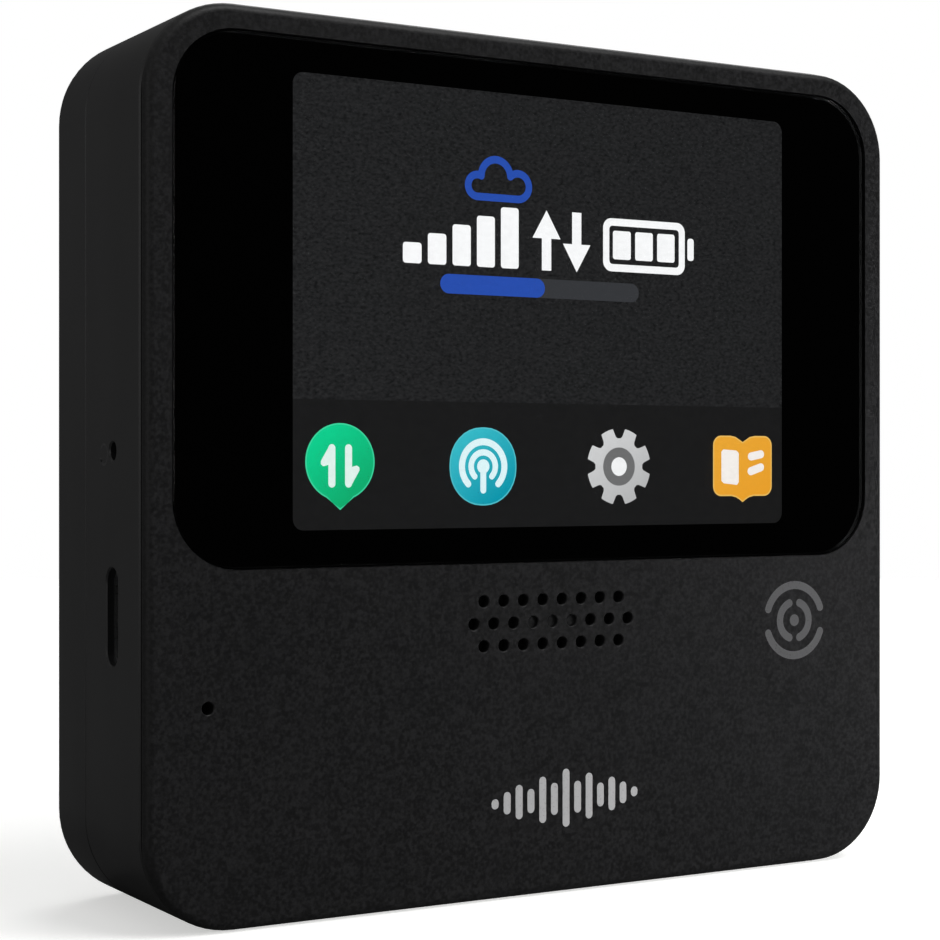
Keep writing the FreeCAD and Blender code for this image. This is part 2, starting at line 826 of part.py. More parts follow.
makers = [
    front_cover, cover_glass, ink_border, glass_adhesive, touch_sensor, lcd_cell, backlight, lcd_bracket,
    bracket_screws, lcd_flex, touch_flex, flex_connectors, speaker_mesh, speaker_gasket, speaker_frame,
    speaker_surround, speaker_dome, voice_coil, speaker_magnet, speaker_screws, speaker_contacts, mic_boot,
    mic_board, microphone, mic_contacts, middle_frame, main_board, board_screws, modem_shield,
    processor_shield, modem_chip, processor_chip, support_chips, small_components, usb_shell, usb_tongue,
    usb_contacts, reset_switch, reset_plunger, power_switch, power_plunger, power_button, heat_spreader,
    thermal_pad, antenna_top, antenna_bottom, antenna_side, antenna_coax, coax_plugs, battery_cell,
    battery_tape, battery_foam, battery_protection, battery_leads, battery_plug, rear_cover, housing_screws,
    screw_inserts, rubber_feet,
]

os.makedirs("parts", exist_ok=True)
for maker in makers:
    solid = maker()
    if not solid.isValid() or not solid.Solids:
        raise SystemExit(f"{maker.__name__} is not a valid solid")
    solid.exportStep(f"parts/{maker.__name__}.step")
    print(f"{maker.__name__}: {len(solid.Solids)} solid(s), {solid.Volume:.2f} mm3")
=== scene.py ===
import json
import math

import bmesh
import bpy
from mathutils import Matrix, Vector


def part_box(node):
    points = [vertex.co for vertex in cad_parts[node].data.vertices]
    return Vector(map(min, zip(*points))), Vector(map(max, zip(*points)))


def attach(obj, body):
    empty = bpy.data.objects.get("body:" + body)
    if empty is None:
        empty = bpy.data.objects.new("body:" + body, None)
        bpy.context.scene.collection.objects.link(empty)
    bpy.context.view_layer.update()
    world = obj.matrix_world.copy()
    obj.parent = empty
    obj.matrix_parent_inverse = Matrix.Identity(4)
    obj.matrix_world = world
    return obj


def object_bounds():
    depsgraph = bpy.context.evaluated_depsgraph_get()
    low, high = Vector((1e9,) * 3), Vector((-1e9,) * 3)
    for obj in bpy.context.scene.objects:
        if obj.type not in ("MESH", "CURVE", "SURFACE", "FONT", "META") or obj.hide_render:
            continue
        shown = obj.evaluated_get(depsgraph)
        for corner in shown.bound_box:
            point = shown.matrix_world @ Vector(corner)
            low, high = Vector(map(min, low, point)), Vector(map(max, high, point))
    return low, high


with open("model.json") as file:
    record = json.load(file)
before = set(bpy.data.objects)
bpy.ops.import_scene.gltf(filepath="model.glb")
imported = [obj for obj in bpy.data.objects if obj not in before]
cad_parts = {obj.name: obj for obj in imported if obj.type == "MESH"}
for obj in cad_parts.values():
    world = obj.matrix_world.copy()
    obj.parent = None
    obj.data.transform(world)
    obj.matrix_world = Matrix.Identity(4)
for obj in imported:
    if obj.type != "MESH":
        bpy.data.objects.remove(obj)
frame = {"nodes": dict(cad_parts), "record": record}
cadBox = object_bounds()
mm = 0.001


def newMaterial(name):
    material = bpy.data.materials.new(name)
    material.use_nodes = True
    tree = material.node_tree
    return material, tree, tree.nodes["Principled BSDF"]


def addNode(tree, kind, values=None, **settings):
    node = tree.nodes.new(kind)
    for key, value in settings.items():
        setattr(node, key, value)
    for key, value in (values or {}).items():
        node.inputs[key].default_value = value
    return node


def rgb(colour):
    return (colour[0], colour[1], colour[2], 1.0)


def objectPlace(tree, stretch=(1, 1, 1)):
    place = addNode(tree, "ShaderNodeTexCoord")
    mapping = addNode(tree, "ShaderNodeMapping", {"Scale": stretch})
    tree.links.new(place.outputs["Object"], mapping.inputs["Vector"])
    return mapping.outputs["Vector"]


def grainNoise(tree, place, size, detail=3.0, roughness=0.55):
    noise = addNode(tree, "ShaderNodeTexNoise", {"Scale": 1 / size, "Detail": detail, "Roughness": roughness})
    tree.links.new(place, noise.inputs["Vector"])
    return noise.outputs["Fac"]


def spread(tree, value, low, high, fromLow=0.3, fromHigh=0.7):
    remap = addNode(tree, "ShaderNodeMapRange",
                    {"From Min": fromLow, "From Max": fromHigh, "To Min": low, "To Max": high})
    tree.links.new(value, remap.inputs["Value"])
    return remap.outputs["Result"]


def blendColours(tree, share, first, second):
    mix = addNode(tree, "ShaderNodeMix", data_type="RGBA")
    tree.links.new(share, mix.inputs[0])
    for socket, colour in ((mix.inputs[6], first), (mix.inputs[7], second)):
        if isinstance(colour, bpy.types.NodeSocket):
            tree.links.new(colour, socket)
        else:
            socket.default_value = rgb(colour)
    return mix.outputs[2]


def bumpFrom(tree, height, depth, shader, before=None):
    bump = addNode(tree, "ShaderNodeBump", {"Strength": 1.0, "Distance": depth})
    tree.links.new(height, bump.inputs["Height"])
    if before is not None:
        tree.links.new(before, bump.inputs["Normal"])
    tree.links.new(bump.outputs["Normal"], shader.inputs["Normal"])
    return bump.outputs["Normal"]


def shade(colour, factor):
    return tuple(c * factor for c in colour)


# how much lighter the tips of a moulded grain are than the plastic between them
grainTip = 3.0


# every finish takes its own dictionary of looks, further down
def mouldedPlastic(name, look):
    # spark-eroded skin: fine grain, slow mottling, faint handling smears
    material, tree, shader = newMaterial(name)
    place = objectPlace(tree)
    grain = grainNoise(tree, place, look["grain"], 4.0)
    mottle = grainNoise(tree, place, look["mottle"], 3.0)
    smear = grainNoise(tree, objectPlace(tree, (1.0, 1.0, 0.35)), look["mottle"] * 6, 2.0)
    slow = blendColours(tree, spread(tree, mottle, 0, 1), shade(look["colour"], 1 - look["shift"]),
                        shade(look["colour"], 1 + look["shift"]))
    colour = blendColours(tree, spread(tree, grain, 0, look["grainShare"], 0.40, 0.64), slow,
                          shade(look["colour"], grainTip))
    tree.links.new(colour, shader.inputs["Base Color"])
    middling, shift = look["roughness"], look["roughShift"]
    rough = spread(tree, smear, middling - shift, middling + shift)
    tree.links.new(rough, shader.inputs["Roughness"])
    shader.inputs["Specular IOR Level"].default_value = look["specular"]
    bumpFrom(tree, grain, look["grainDepth"], shader)
    return material


def softRubber(name, look):
    material, tree, shader = newMaterial(name)
    place = objectPlace(tree)
    dust = grainNoise(tree, place, look["dust"], 5.0, 0.7)
    dusty = spread(tree, dust, 0, 1, 0.35, 0.8)
    colour = blendColours(tree, dusty, look["colour"], shade(look["colour"], 2.2))
    tree.links.new(colour, shader.inputs["Base Color"])
    tree.links.new(spread(tree, dust, 0.7, 0.92), shader.inputs["Roughness"])
    shader.inputs["Specular IOR Level"].default_value = 0.3
    bumpFrom(tree, dust, look["depth"], shader)
    return material


def drawnMetal(name, look):
    # rolled or turned metal: streaks along one axis, small tarnish clouds
    material, tree, shader = newMaterial(name)
    streak = grainNoise(tree, objectPlace(tree, look["stretch"]), look["streak"], 4.0)
    cloud = grainNoise(tree, objectPlace(tree), look["cloud"], 3.0)
    dull = shade(look["colour"], look["tarnish"])
    colour = blendColours(tree, spread(tree, cloud, 0, 1), look["colour"], dull)
    tree.links.new(colour, shader.inputs["Base Color"])
    shader.inputs["Metallic"].default_value = 1.0
    rough = spread(tree, streak, look["roughness"] * 0.75, look["roughness"] * 1.3)
    tree.links.new(rough, shader.inputs["Roughness"])
    bumpFrom(tree, streak, look["depth"], shader)
    return material


def thinFilm(name, look):
    # smooth sheet goods: slight ripple and a little cloudiness
    material, tree, shader = newMaterial(name)
    ripple = grainNoise(tree, objectPlace(tree), look["ripple"], 2.0)
    fine = grainNoise(tree, objectPlace(tree), look["ripple"] * 0.15, 3.0)
    deeper = shade(look["colour"], look["shade"])
    colour = blendColours(tree, spread(tree, fine, 0, 1), look["colour"], deeper)
    tree.links.new(colour, shader.inputs["Base Color"])
    rough = spread(tree, fine, look["roughness"] * 0.8, look["roughness"] * 1.25)
    tree.links.new(rough, shader.inputs["Roughness"])
    bumpFrom(tree, ripple, look["depth"], shader)
    return material


def circuitBoard(name, look):
    # solder mask over traces, with pads showing gold
    material, tree, shader = newMaterial(name)
    place = objectPlace(tree)
    traces = addNode(tree, "ShaderNodeTexBrick", {"Scale": 1 / look["tracePitch"], "Mortar Size": 0.06,
                                                  "Color1": (0, 0, 0, 1), "Color2": (0, 0, 0, 1),
                                                  "Mortar": (1, 1, 1, 1)})
    turned = addNode(tree, "ShaderNodeMapping", {"Rotation": (math.pi / 2, 0, 0)})
    tree.links.new(place, turned.inputs["Vector"])
    tree.links.new(turned.outputs["Vector"], traces.inputs["Vector"])
    pads = addNode(tree, "ShaderNodeTexVoronoi", {"Scale": 1 / look["padPitch"]})
    tree.links.new(place, pads.inputs["Vector"])
    padShare = spread(tree, pads.outputs["Distance"], 1, 0, 0.10, 0.14)
    mask = blendColours(tree, traces.outputs["Fac"], look["mask"], look["trace"])
    colour = blendColours(tree, padShare, mask, look["pad"])
    tree.links.new(colour, shader.inputs["Base Color"])
    tree.links.new(spread(tree, grainNoise(tree, place, 0.4 * mm), 0.28, 0.42), shader.inputs["Roughness"])
    bumpFrom(tree, traces.outputs["Fac"], 0.02 * mm, shader)
    return material


def wovenCloth(name, look):
    material, tree, shader = newMaterial(name)
    place = objectPlace(tree)
    warp = addNode(tree, "ShaderNodeTexWave", {"Scale": 1 / look["pitch"]}, bands_direction="X")
    weft = addNode(tree, "ShaderNodeTexWave", {"Scale": 1 / look["pitch"]}, bands_direction="Z")
    for wave in (warp, weft):
        tree.links.new(place, wave.inputs["Vector"])
    weave = addNode(tree, "ShaderNodeMath", operation="MULTIPLY")
    tree.links.new(warp.outputs["Fac"], weave.inputs[0])
    tree.links.new(weft.outputs["Fac"], weave.inputs[1])
    # the thread crossings are painted lighter and the gaps between them darker: painted highlight on the
    # raised threads and painted shade in the weave's hollows
    paintedValleyShade, paintedThreadLight = shade(look["colour"], 0.4), shade(look["colour"], 1.6)
    colour = blendColours(tree, weave.outputs["Value"], paintedValleyShade, paintedThreadLight)
    tree.links.new(colour, shader.inputs["Base Color"])
    tree.links.new(spread(tree, weave.outputs["Value"], 0.75, 0.95, 0, 1), shader.inputs["Roughness"])
    bumpFrom(tree, weave.outputs["Value"], 0.03 * mm, shader)
    return material


def polishedGlass(name, look):
    # clear cover with the faintest ripple and a few finger smears
    material, tree, shader = newMaterial(name)
    smear = grainNoise(tree, objectPlace(tree, (1.0, 1.0, 0.6)), look["smear"], 4.0, 0.6)
    tree.links.new(spread(tree, smear, look["roughness"], look["smearRoughness"], 0.55, 0.85),
                   shader.inputs["Roughness"])
    tint = blendColours(tree, smear, look["tint"], shade(look["tint"], 0.97))
    tree.links.new(tint, shader.inputs["Base Color"])
    shader.inputs["Transmission Weight"].default_value = 1.0
    shader.inputs["IOR"].default_value = look["ior"]
    shader.inputs["Specular IOR Level"].default_value = look["specular"]
    bumpFrom(tree, grainNoise(tree, objectPlace(tree), 14 * mm, 1.0), look["ripple"], shader)
    return material


def padPrint(name, look):
    # ink on textured plastic: tiny pinholes where the grain's valleys stay bare
    material, tree, shader = newMaterial(name)
    place = objectPlace(tree)
    grain = grainNoise(tree, place, look["grain"], 4.0)
    bare = spread(tree, grain, 1, 0, 0.30, 0.42)
    colour = blendColours(tree, bare, look["colour"], shade(look["colour"], look["pinhole"]))
    tree.links.new(colour, shader.inputs["Base Color"])
    tree.links.new(spread(tree, grain, 0.42, 0.6), shader.inputs["Roughness"])
    shader.inputs["Metallic"].default_value = look["metallic"]
    bumpFrom(tree, grain, 0.01 * mm, shader)
    return material


def litPanel(name, look):
    # screen image: fine rows, uneven brightness, and a slope from the upper left where the look has one
    material, tree, shader = newMaterial(name)
    place = objectPlace(tree)
    speckle = grainNoise(tree, objectPlace(tree, (0.6, 1.0, 1.0)), look["speckle"], 2.0, 0.7)
    rows = addNode(tree, "ShaderNodeTexWave", {"Scale": 1 / look["rowPitch"]}, bands_direction="Z")
    tree.links.new(place, rows.inputs["Vector"])
    shadeShare = spread(tree, speckle, 0, 1, 0.5 - look["contrast"], 0.5 + look["contrast"])
    base = blendColours(tree, shadeShare, look["dark"], look["light"])
    if "middle" in look:
        across = addNode(tree, "ShaderNodeVectorMath", {1: (0.6, 0, -0.8)}, operation="DOT_PRODUCT")
        tree.links.new(place, across.inputs[0])
        centre = 0.6 * look["middle"][0] * mm - 0.8 * look["middle"][1] * mm
        share = spread(tree, across.outputs["Value"], 0, 1, centre - 3.6 * mm, centre + 3.6 * mm)
        base = blendColours(tree, share, base, look["low"])
    colour = blendColours(tree, spread(tree, rows.outputs["Fac"], 0, 0.06, 0, 1), base, (0, 0, 0))
    tree.links.new(colour, shader.inputs["Emission Color"])
    shader.inputs["Emission Strength"].default_value = 1.0
    shader.inputs["Base Color"].default_value = (0.004, 0.004, 0.004, 1)
    shader.inputs["Specular IOR Level"].default_value = 0.0
    tree.links.new(spread(tree, speckle, 0.5, 0.7), shader.inputs["Roughness"])
    return material


plasticLook = {
    "cover_plastic": {"colour": (0.0050, 0.0050, 0.0052), "shift": 0.14, "grain": 0.34 * mm,
                      "mottle": 2.2 * mm, "grainShare": 0.85, "grainDepth": 0.014 * mm,
                      "roughness": 0.50, "roughShift": 0.05, "specular": 0.30},
    "band_plastic": {"colour": (0.0100, 0.0100, 0.0104), "shift": 0.08, "grain": 0.18 * mm,
                     "mottle": 3.0 * mm, "grainShare": 0.14, "grainDepth": 0.003 * mm,
                     "roughness": 0.38, "roughShift": 0.05, "specular": 0.45},
    "rear_plastic": {"colour": (0.0100, 0.0100, 0.0104), "shift": 0.08, "grain": 0.18 * mm,
                     "mottle": 3.0 * mm, "grainShare": 0.14, "grainDepth": 0.003 * mm,
                     "roughness": 0.38, "roughShift": 0.05, "specular": 0.45},
    "button_plastic": {"colour": (0.020, 0.020, 0.021), "shift": 0.06, "grain": 0.10 * mm, "mottle": 1.5 * mm,
                       "grainShare": 0.10, "grainDepth": 0.003 * mm, "roughness": 0.38, "roughShift": 0.05,
                       "specular": 0.5},
    "black_nylon": {"colour": (0.016, 0.016, 0.017), "shift": 0.12, "grain": 0.08 * mm, "mottle": 0.8 * mm,
                    "grainShare": 0.15, "grainDepth": 0.004 * mm, "roughness": 0.5, "roughShift": 0.06,
                    "specular": 0.5},
    "light_guide": {"colour": (0.78, 0.78, 0.76), "shift": 0.03, "grain": 0.2 * mm, "mottle": 4.0 * mm,
                    "grainShare": 0.1, "grainDepth": 0.002 * mm, "roughness": 0.35, "roughShift": 0.05,
                    "specular": 0.5},
    "black_ink": {"colour": (0.0022, 0.0022, 0.0024), "shift": 0.05, "grain": 0.05 * mm, "mottle": 2.0 * mm,
                  "grainShare": 0.02, "grainDepth": 0.0005 * mm, "roughness": 0.6, "roughShift": 0.03,
                  "specular": 0.1},
    "chip_epoxy": {"colour": (0.022, 0.022, 0.024), "shift": 0.15, "grain": 0.06 * mm, "mottle": 1.0 * mm,
                   "grainShare": 0.3, "grainDepth": 0.004 * mm, "roughness": 0.55, "roughShift": 0.05,
                   "specular": 0.4},
    "ceramic": {"colour": (0.36, 0.27, 0.19), "shift": 0.2, "grain": 0.05 * mm, "mottle": 0.6 * mm,
                "grainShare": 0.2, "grainDepth": 0.003 * mm, "roughness": 0.4, "roughShift": 0.05,
                "specular": 0.5},
    "graphite": {"colour": (0.06, 0.06, 0.065), "shift": 0.2, "grain": 0.3 * mm, "mottle": 3.0 * mm,
                 "grainShare": 0.3, "grainDepth": 0.004 * mm, "roughness": 0.45, "roughShift": 0.08,
                 "specular": 0.8},
}
rubberLook = {
    "soft_rubber": {"colour": (0.014, 0.014, 0.015), "dust": 0.5 * mm, "depth": 0.01 * mm},
    "gap_pad": {"colour": (0.22, 0.28, 0.36), "dust": 0.8 * mm, "depth": 0.02 * mm},
    "coax_jacket": {"colour": (0.30, 0.30, 0.31), "dust": 0.4 * mm, "depth": 0.004 * mm},
    "tape": {"colour": (0.05, 0.05, 0.055), "dust": 1.5 * mm, "depth": 0.01 * mm},
    "foam": {"colour": (0.03, 0.03, 0.03), "dust": 0.25 * mm, "depth": 0.05 * mm},
    "lead_jacket": {"colour": (0.30, 0.012, 0.012), "dust": 0.6 * mm, "depth": 0.004 * mm},
}
metalLook = {
    "steel": {"colour": (0.56, 0.57, 0.58), "tarnish": 0.82, "stretch": (1, 1, 8), "streak": 0.6 * mm,
              "cloud": 3 * mm, "roughness": 0.32, "depth": 0.003 * mm},
    "screw_steel": {"colour": (0.20, 0.20, 0.21), "tarnish": 0.7, "stretch": (1, 1, 1), "streak": 0.3 * mm,
                    "cloud": 1 * mm, "roughness": 0.38, "depth": 0.004 * mm},
    "gold_plate": {"colour": (0.83, 0.60, 0.24), "tarnish": 0.88, "stretch": (6, 1, 1), "streak": 0.3 * mm,
                   "cloud": 1 * mm, "roughness": 0.22, "depth": 0.002 * mm},
    "insert_brass": {"colour": (0.70, 0.52, 0.24), "tarnish": 0.75, "stretch": (1, 8, 1), "streak": 0.4 * mm,
                     "cloud": 1 * mm, "roughness": 0.33, "depth": 0.01 * mm},
    "antenna_foil": {"colour": (0.78, 0.46, 0.30), "tarnish": 0.85, "stretch": (5, 1, 1), "streak": 0.8 * mm,
                     "cloud": 4 * mm, "roughness": 0.3, "depth": 0.004 * mm},
    "battery_foil": {"colour": (0.66, 0.67, 0.69), "tarnish": 0.9, "stretch": (1, 1, 3), "streak": 2.5 * mm,
                     "cloud": 9 * mm, "roughness": 0.3, "depth": 0.02 * mm},
    "dome_foil": {"colour": (0.62, 0.62, 0.63), "tarnish": 0.9, "stretch": (1, 1, 1), "streak": 0.5 * mm,
                  "cloud": 2 * mm, "roughness": 0.25, "depth": 0.004 * mm},
    "coil_copper": {"colour": (0.72, 0.38, 0.18), "tarnish": 0.8, "stretch": (1, 30, 1), "streak": 1.5 * mm,
                    "cloud": 1 * mm, "roughness": 0.35, "depth": 0.02 * mm},
}
filmLook = {
    "clear_film": {"colour": (0.03, 0.03, 0.034), "shade": 0.8, "ripple": 8 * mm, "roughness": 0.12,
                   "depth": 0.004 * mm},
    "lcd_stack": {"colour": (0.012, 0.012, 0.013), "shade": 0.8, "ripple": 12 * mm, "roughness": 0.2,
                  "depth": 0.002 * mm},
    "polyimide": {"colour": (0.42, 0.19, 0.035), "shade": 0.75, "ripple": 3 * mm, "roughness": 0.28,
                  "depth": 0.01 * mm},
}
boardLook = {"mask": (0.010, 0.075, 0.035), "trace": (0.020, 0.14, 0.065), "pad": (0.75, 0.55, 0.22),
             "tracePitch": 2.4 * mm, "padPitch": 1.8 * mm}
clothLook = {"colour": (0.012, 0.012, 0.012), "pitch": 0.6 * mm}
glassLook = {"tint": (0.93, 0.94, 0.95), "ior": 1.50, "specular": 0.30, "roughness": 0.015,
             "smearRoughness": 0.05, "smear": 18 * mm, "ripple": 0.002 * mm}
printLook = {
    "silver_print": {"colour": (0.36, 0.36, 0.363), "grain": 0.20 * mm, "pinhole": 0.70, "metallic": 0.0},
    "grey_print": {"colour": (0.063, 0.063, 0.065), "grain": 0.20 * mm, "pinhole": 0.60, "metallic": 0.0},
    "dim_print": {"colour": (0.040, 0.040, 0.041), "grain": 0.20 * mm, "pinhole": 0.60, "metallic": 0.0},
}

finishes = {}
for slot, look in plasticLook.items():
    finishes[slot] = mouldedPlastic(slot, look)
for slot, look in rubberLook.items():
    finishes[slot] = softRubber(slot, look)
for slot, look in metalLook.items():
    finishes[slot] = drawnMetal(slot, look)
for slot, look in filmLook.items():
    finishes[slot] = thinFilm(slot, look)
for slot, look in printLook.items():
    finishes[slot] = padPrint(slot, look)
finishes["circuit_board"] = circuitBoard("circuit_board", boardLook)
finishes["mesh_cloth"] = wovenCloth("mesh_cloth", clothLook)
finishes["screen_glass"] = polishedGlass("screen_glass", glassLook)

for part in frame["record"]["subparts"]:
    node = frame["nodes"][part["node"]]
    for holder in node.material_slots:
        holder.material = finishes[part["material_slot"]]
print("finishes on the frame:", len(finishes))


# outlines in X and Z, in millimetres, that raisedPiece turns into thin pieces
def circleLoop(cx, cz, r, steps=48):
    return [(cx + r * math.cos(2 * math.pi * i / steps), cz + r * math.sin(2 * math.pi * i / steps))
            for i in range(steps)]


def arcPoints(cx, cz, r, start, end, steps):
    points = []
    for i in range(steps + 1):
        angle = math.radians(start + (end - start) * i / steps)
        points.append((cx + r * math.cos(angle), cz + r * math.sin(angle)))
    return points


def roundedLoop(cx, cz, w, h, r):
    r = min(r, w / 2, h / 2)
    points = []
    for sx, sz, start in ((1, 1, 0), (-1, 1, 90), (-1, -1, 180), (1, -1, 270)):
        points += arcPoints(cx + sx * (w / 2 - r), cz + sz * (h / 2 - r), r, start, start + 90, 8)
    return points


def arcBand(cx, cz, r, stroke, start, end):
    # a stroke along an arc, with round ends
    outer = arcPoints(cx, cz, r + stroke / 2, start, end, 40)
    inner = arcPoints(cx, cz, r - stroke / 2, end, start, 40)
    a, b = math.radians(start), math.radians(end)
    tip = arcPoints(cx + r * math.cos(b), cz + r * math.sin(b), stroke / 2, end, end + 180, 8)[1:-1]
    tail = arcPoints(cx + r * math.cos(a), cz + r * math.sin(a), stroke / 2, start + 180, start + 360,
                     8)[1:-1]
    return outer + tip + inner + tail


def barLoop(x0, z0, x1, z1, stroke):
    # a straight stroke with round ends
    angle = math.degrees(math.atan2(z1 - z0, x1 - x0))
    return (arcPoints(x1, z1, stroke / 2, angle - 90, angle + 90, 8)
            + arcPoints(x0, z0, stroke / 2, angle + 90, angle + 270, 8))


def raisedPiece(name, loops, front, thick, material):
    # loops and thick are in millimetres; front is the Y of the piece's outer face, in metres
    curve = bpy.data.curves.new(name, "CURVE")
    curve.dimensions = "2D"
    curve.fill_mode = "BOTH"
    curve.extrude = thick * mm / 2
    for loop in loops:
        spline = curve.splines.new("POLY")
        spline.points.add(len(loop) - 1)
        for point, (x, z) in zip(spline.points, loop):
            point.co = (x * mm, z * mm, 0, 1)
        spline.use_cyclic_u = True
    holder = bpy.data.objects.new(name + "_outline", curve)
    mesh = bpy.data.meshes.new_from_object(holder)
    bpy.data.objects.remove(holder)
    mesh.name = name
    mesh.transform(Matrix.Translation((0, front + thick * mm / 2, 0)) @ Matrix.Rotation(math.pi / 2, 4, "X"))
    mesh.materials.clear()
    mesh.materials.append(material)
    piece = bpy.data.objects.new(name, mesh)
    bpy.context.scene.collection.objects.link(piece)
    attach(piece, "housing")
    return piece


# the display's image lies in the gap between the glass and the print behind it
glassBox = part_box("cover_glass")
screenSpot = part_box("touch_sensor")
screenX = (screenSpot[0].x + screenSpot[1].x) / 2 / mm
screenZ = (screenSpot[0].z + screenSpot[1].z) / 2 / mm
imageFront = glassBox[1].y + 0.018 * mm
glyphFront = glassBox[1].y + 0.004 * mm

screen = {"w": 57.8, "h": 42.8, "corner": 1.1, "lowCorner": 0.6, "bandTop": -9.1}
screenTones = {
    "upperField": {"dark": (0.0070, 0.0072, 0.0076), "light": (0.0285, 0.0288, 0.0297), "speckle": 0.27 * mm,
                   "contrast": 0.24, "rowPitch": 0.18 * mm},
    "iconBand": {"dark": (0.0108, 0.0108, 0.0110), "light": (0.0128, 0.0128, 0.0130), "speckle": 0.6 * mm,
                 "contrast": 0.2, "rowPitch": 0.18 * mm},
}
icons = {"z": -15.4, "pin": -23.95, "disc": -8.25, "gear": 7.85, "book": 23.65}
glyphTones = {
    "screenWhite": {"high": (1.16, 1.16, 1.16)},
    "screenBlue": {"high": (0.026, 0.091, 0.49)},
    "screenDim": {"high": (0.045, 0.047, 0.052)},
    "pinGreen": {"high": (0.006, 0.74, 0.32), "low": (0.006, 0.46, 0.17), "icon": "pin"},
    "pinRim": {"high": (0.055, 0.78, 0.40)},
    "pinWhite": {"high": (0.90, 1.08, 1.00)},
    "discTeal": {"high": (0.045, 0.58, 0.68), "low": (0.004, 0.36, 0.48), "icon": "disc"},
    "discRim": {"high": (0.10, 0.62, 0.70)},
    "discWhite": {"high": (0.88, 1.10, 1.12)},
    "gearGrey": {"high": (0.76, 0.76, 0.76), "low": (0.56, 0.56, 0.56), "icon": "gear"},
    "gearRing": {"high": (0.185, 0.185, 0.185)},
    "gearCentre": {"high": (1.08, 1.08, 1.08)},
    "bookOrange": {"high": (1.00, 0.46, 0.042), "low": (0.98, 0.42, 0.030), "icon": "book"},
    "bookRim": {"high": (1.00, 0.60, 0.14)},
    "bookWhite": {"high": (1.10, 1.04, 0.98)},
}
tones = {name: litPanel(name, look) for name, look in screenTones.items()}
for name, tone in glyphTones.items():
    look = {"dark": shade(tone["high"], 0.95), "light": shade(tone["high"], 1.03), "speckle": 0.5 * mm,
            "contrast": 0.25, "rowPitch": 0.18 * mm}
    if "icon" in tone:
        look["low"] = tone["low"]
        look["middle"] = (screenX + icons[tone["icon"]], screenZ + icons["z"])
    tones[name] = litPanel(name, look)


def screenPiece(name, loops, tone, front=None):
    # loops are measured from the middle of the lit area
    moved = [[(x + screenX, z + screenZ) for x, z in loop] for loop in loops]
    return raisedPiece(name, moved, glyphFront if front is None else front, 0.01, tones[tone])


def topLoop():
    w, h, r, low = screen["w"] / 2, screen["h"] / 2, screen["corner"], screen["bandTop"]
    return ([(-w, low), (w, low)] + arcPoints(w - r, h - r, r, 0, 90, 8)
            + arcPoints(-w + r, h - r, r, 90, 180, 8))


def bottomLoop():
    w, h, r, low = screen["w"] / 2, screen["h"] / 2, screen["lowCorner"], screen["bandTop"]
    return ([(w, low), (-w, low)] + arcPoints(-w + r, -h + r, r, 180, 270, 8)
            + arcPoints(w - r, -h + r, r, 270, 360, 8))


screenPiece("screen_upper_field", [topLoop()], "upperField", imageFront)
screenPiece("screen_icon_band", [bottomLoop()], "iconBand", imageFront)


def pinIcon(look):
    x, z = look["pin"], look["z"] + 0.42
    for name, r, tip, tone, front in (("icon_pin_rim", 3.66, 4.55, "pinRim", glyphFront + 0.001 * mm),
                                      ("icon_pin", 3.52, 4.36, "pinGreen", glyphFront)):
        flare = [(x - 0.75, z - 3.90), (x, z - tip), (x + 0.75, z - 3.90)]
        screenPiece(name, [arcPoints(x, z, r, -67, 247, 60) + flare], tone, front)
    arrowZ, half = z - 0.38, 1.68
    head = [(0.33, 1.72), (0.05, 2.03), (-0.30, 1.84), (-1.16, 0.44), (-1.15, 0.14), (-0.90, -0.04),
            (-0.33, 0.10)]
    for turn, name in ((1, "icon_arrow_up"), (-1, "icon_arrow_down")):
        barX = x - turn * 0.88
        screenPiece(name, [barLoop(barX, arrowZ - half, barX, arrowZ + half, 0.74)], "pinWhite",
                    glyphFront - 0.002 * mm)
        screenPiece(name + "_head", [[(barX + turn * px, arrowZ + turn * pz) for px, pz in head]], "pinWhite",
                    glyphFront - 0.0025 * mm)


def discIcon(look):
    x, z = look["disc"], look["z"]
    screenPiece("icon_disc_rim", [roundedLoop(x, z, 7.62, 7.66, 3.62)], "discRim", glyphFront + 0.001 * mm)
    screenPiece("icon_disc", [roundedLoop(x, z, 7.36, 7.40, 3.50)], "discTeal")
    raised = glyphFront - 0.002 * mm
    screenPiece("icon_disc_outer_arc", [arcBand(x, z, 2.42, 0.68, -45, 225)], "discWhite", raised)
    screenPiece("icon_disc_inner_arc", [arcBand(x, z, 1.38, 0.62, -45, 225)], "discWhite", raised)
    screenPiece("icon_disc_mast", [circleLoop(x, z, 0.70)], "discWhite", raised)
    screenPiece("icon_disc_stem", [barLoop(x, z, x, z - 2.33, 0.66)], "discWhite", raised - 0.0005 * mm)


def gearIcon(look):
    x, z = look["gear"], look["z"]
    teeth, outer, root = 8, 3.88, 2.88
    outline = []
    for i in range(teeth):
        middle = 360 / teeth * (i + 0.5)
        outline += arcPoints(x, z, root, middle - 22.4, middle - 18.5, 2)
        outline += arcPoints(x, z, root + 0.18, middle - 15.2, middle - 15.0, 1)
        outline += arcPoints(x, z, outer, middle - 11.2, middle + 11.2, 5)
        outline += arcPoints(x, z, root + 0.18, middle + 15.0, middle + 15.2, 1)
        outline += arcPoints(x, z, root, middle + 18.5, middle + 22.3, 2)
    screenPiece("icon_gear", [outline], "gearGrey")
    screenPiece("icon_gear_ring", [circleLoop(x, z, 1.95)], "gearRing", glyphFront - 0.002 * mm)
    screenPiece("icon_gear_centre", [circleLoop(x, z, 0.95)], "gearCentre", glyphFront - 0.003 * mm)


